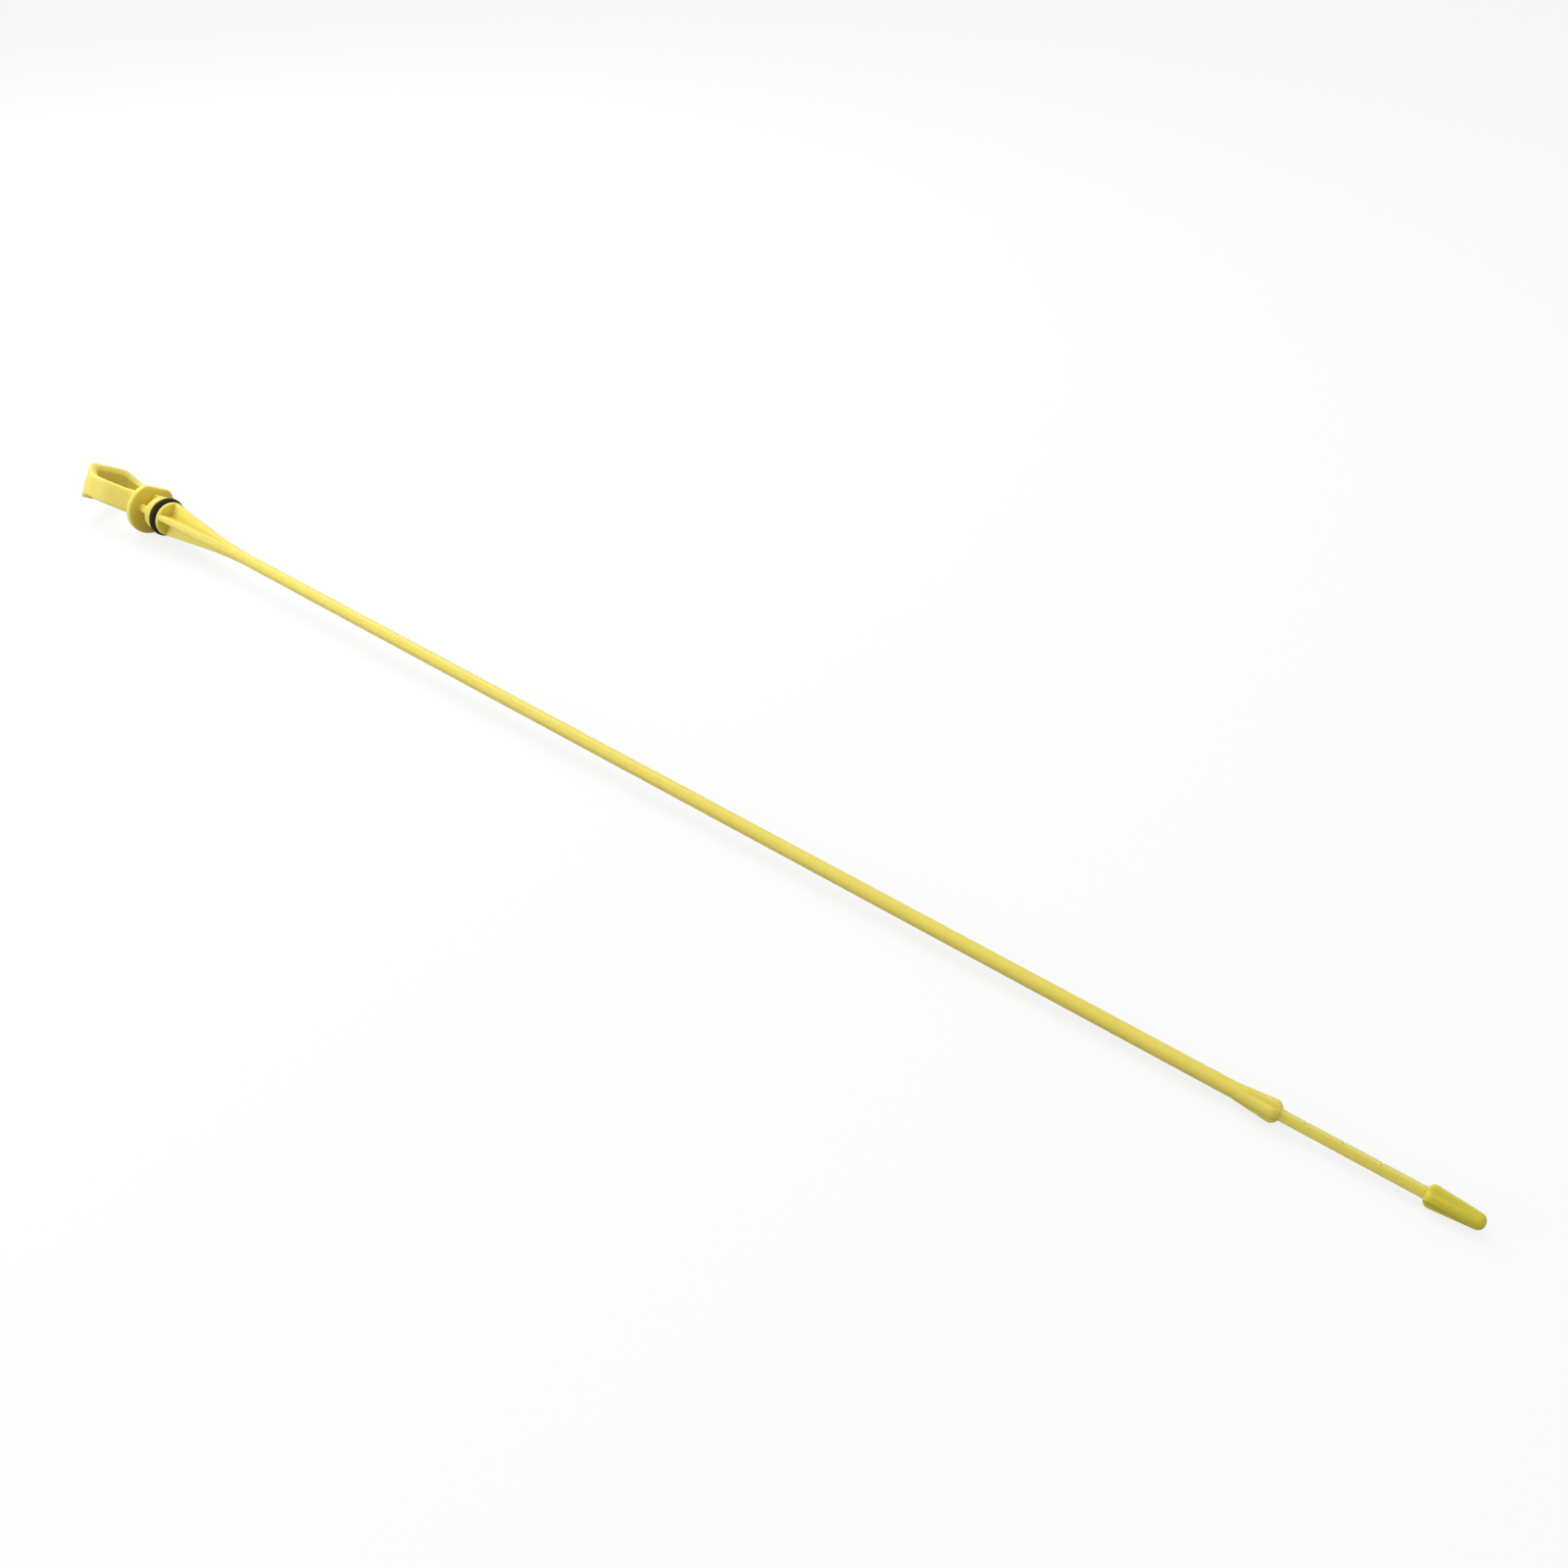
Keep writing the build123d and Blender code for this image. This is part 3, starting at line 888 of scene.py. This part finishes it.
def plastic_finish():
    """Satin moulded plastic, which light spreads inside, made once for all the pieces that have it.

    Slow noise mixes two yellows as flow marks, and a smooth step along the axis brings in painted shade on
    the tip, a darker yellow that stands in for the light falling off towards the tip.
    Finer noise makes the gloss uneven. The bump is a fine grain and the line where the mould's halves met,
    on the plane across the finger hole's axis.
    """
    name = "yellow_moulded_plastic"
    if name in bpy.data.materials:
        return bpy.data.materials[name]
    look = bpy.context.scene.dipstick_finish
    stem = bpy.context.scene.dipstick_stem
    origin, axes = part_axes()
    tip = stem_places(stem)["tip"]
    material, place = start_material(name)
    flow = noise(place, FLOW_SCALE, SOFT_DETAIL)
    body = mix_colours(flow, (*look.plastic, 1), (*look.plastic_deep, 1))
    along = level_on(place, origin, axes[0])
    # Painted shade: a smooth step along the axis darkens the tip, standing in for the light that falls off
    # towards it
    tip_shade_share = smooth_step(along, tip - stem.tip_shoulder, tip + stem.tip_shoulder, 0, 1)
    uneven = PLASTIC_UNEVEN * noise(place, GLOSS_SCALE, FINE_DETAIL)
    grain = PLASTIC_GRAIN * noise(place, GRAIN_SCALE, FINE_DETAIL)
    relief = grain + ridge(place, origin, axes[2], look.mould_line / 2)
    sockets = {
        "Base Color": mix_colours(tip_shade_share, body, (*look.plastic_shaded_tip, 1)),
        "Roughness": look.plastic_gloss - PLASTIC_UNEVEN / 2 + uneven,
        "Specular IOR Level": look.plastic_shine,
        "Subsurface Weight": look.plastic_glow,
        "Subsurface Radius": look.plastic_spread,
        "Subsurface Scale": look.plastic_depth,
    }
    finish_surface(place, sockets, relief, PLASTIC_BUMP, look.plastic_relief)
    return material


def rubber_finish():
    """Dark rubber: noise spreads a faint pale bloom and dulls the gloss there, with a fine grain as bump."""
    look = bpy.context.scene.dipstick_finish
    material, place = start_material("black_sealing_rubber")
    bloom = noise(place, BLOOM_SCALE, SOFT_DETAIL)
    sockets = {
        "Base Color": mix_colours(RUBBER_BLOOM * bloom, (*look.rubber, 1), (*look.rubber_worn, 1)),
        "Roughness": look.rubber_gloss - RUBBER_UNEVEN / 2 + RUBBER_UNEVEN * bloom,
        "Specular IOR Level": look.rubber_shine,
    }
    grain = noise(place, RUBBER_GRAIN_SCALE, FINE_DETAIL)
    finish_surface(place, sockets, grain, RUBBER_BUMP, look.rubber_relief)
    return material


class DIPSTICK_OT_studio(Operator):
    """Set the floor, the white background, the lamps and the camera"""
    bl_idname = "dipstick.studio"
    bl_label = "Set studio"

    def execute(self, context):
        scene, studio = context.scene, context.scene.dipstick_studio
        scene.view_settings.view_transform = "Standard"
        make_floor(scene, studio)
        make_sky(scene, studio)
        for name, lamp in LAMPS.items():
            add_lamp(scene, name + "_lamp", getattr(studio, name + "_power"), **lamp)
        add_camera(scene, studio)
        return {"FINISHED"}


def seen_directly(start):
    """One where a ray comes from the camera, a gloss or a transparency, else zero."""
    kinds = ("Camera", "Glossy", "Transmission")
    camera, glossy, clear = (start.node("ShaderNodeLightPath", output=f"Is {kind} Ray") for kind in kinds)
    return start.node("ShaderNodeClamp", {}, {"Value": camera + glossy + clear})


def make_floor(scene, studio):
    """A wide pale floor under the dipstick, which glows plain white to the camera but keeps the shadow."""
    half = studio.floor_size / 2
    corners = [(-half, -half, 0), (half, -half, 0), (half, half, 0), (-half, half, 0)]
    mesh = bpy.data.meshes.new("studio_floor")
    mesh.from_pydata(corners, [], [(0, 1, 2, 3)])
    material = bpy.data.materials.new("studio_floor")
    start = start_tree(material)
    pale = start.node("ShaderNodeBsdfDiffuse", {}, {"Color": (*studio.floor_colour, 1)})
    glow = start.node("ShaderNodeEmission", {}, {"Color": WHITE, "Strength": 1.0})
    seen = start.node("ShaderNodeMixShader", {}, {0: studio.floor_glow, 1: pale, 2: glow})
    matt = start.node("ShaderNodeBsdfDiffuse", {}, {"Color": (*studio.floor_bounce, 1)})
    mixed = start.node("ShaderNodeMixShader", {}, {0: seen_directly(start), 1: matt, 2: seen})
    start.node("ShaderNodeOutputMaterial", {}, {"Surface": mixed})
    mesh.materials.append(material)
    floor = bpy.data.objects.new("studio_floor", mesh)
    scene.collection.objects.link(floor)


def make_sky(scene, studio):
    """An even pale light from all round, which is plain white where the camera sees it."""
    scene.world = bpy.data.worlds.new("studio_sky")
    start = start_tree(scene.world)
    strength = studio.sky + (1 - studio.sky) * seen_directly(start)
    light = start.node("ShaderNodeBackground", {}, {"Color": WHITE, "Strength": strength})
    start.node("ShaderNodeOutputWorld", {}, {"Surface": light})


def add_lamp(scene, name, power, place, side):
    """A square soft lamp that looks at the middle of the floor."""
    lamp = bpy.data.lights.new(name, "AREA")
    lamp.energy = power
    lamp.size = side
    holder = bpy.data.objects.new(name, lamp)
    holder.location = place
    holder.visible_camera = False
    back = np.array(place) / np.linalg.norm(place)
    holder.rotation_euler = (math.acos(back[2]), 0, math.atan2(back[0], -back[1]))
    scene.collection.objects.link(holder)


def add_camera(scene, studio):
    """The camera at the photograph's viewing angle."""
    camera = bpy.data.cameras.new("photo_camera")
    camera.lens = studio.lens / MM
    camera.sensor_width = SENSOR_WIDTH
    camera.clip_start = NEAREST
    camera.clip_end = FURTHEST
    holder = bpy.data.objects.new("photo_camera", camera)
    holder.location = studio.camera_place
    holder.rotation_euler = studio.camera_turn
    scene.collection.objects.link(holder)
    scene.camera = holder


class DIPSTICK_PT_panel(Panel):
    """Sizes, colours and buttons of the dipstick"""
    bl_label = "Dipstick"
    bl_idname = "DIPSTICK_PT_panel"
    bl_space_type = "VIEW_3D"
    bl_region_type = "UI"
    bl_category = "Dipstick"

    def draw(self, context):
        for operator in OPERATORS:
            self.layout.operator(operator.bl_idname)
        for name, group in GROUPS.items():
            box = self.layout.box()
            box.label(text=group.__doc__)
            for size in group.__annotations__:
                box.prop(getattr(context.scene, name), size)


GROUPS = {
    "dipstick_stem": DipstickStem,
    "dipstick_handle": DipstickHandle,
    "dipstick_ring": DipstickRing,
    "dipstick_finish": DipstickFinish,
    "dipstick_studio": DipstickStudio,
}
OPERATORS = (DIPSTICK_OT_stem, DIPSTICK_OT_handle, DIPSTICK_OT_ring, DIPSTICK_OT_studio)
CLASSES = (*GROUPS.values(), *OPERATORS, DIPSTICK_PT_panel)


def register():
    for each in CLASSES:
        bpy.utils.register_class(each)
    for name, group in GROUPS.items():
        setattr(bpy.types.Scene, name, PointerProperty(type=group))


def unregister():
    for name in GROUPS:
        delattr(bpy.types.Scene, name)
    for each in reversed(CLASSES):
        bpy.utils.unregister_class(each)


def main():
    register()
    bpy.ops.dipstick.stem()
    bpy.ops.dipstick.handle()
    bpy.ops.dipstick.ring()
    bpy.ops.dipstick.studio()


if __name__ == "__main__":
    main()
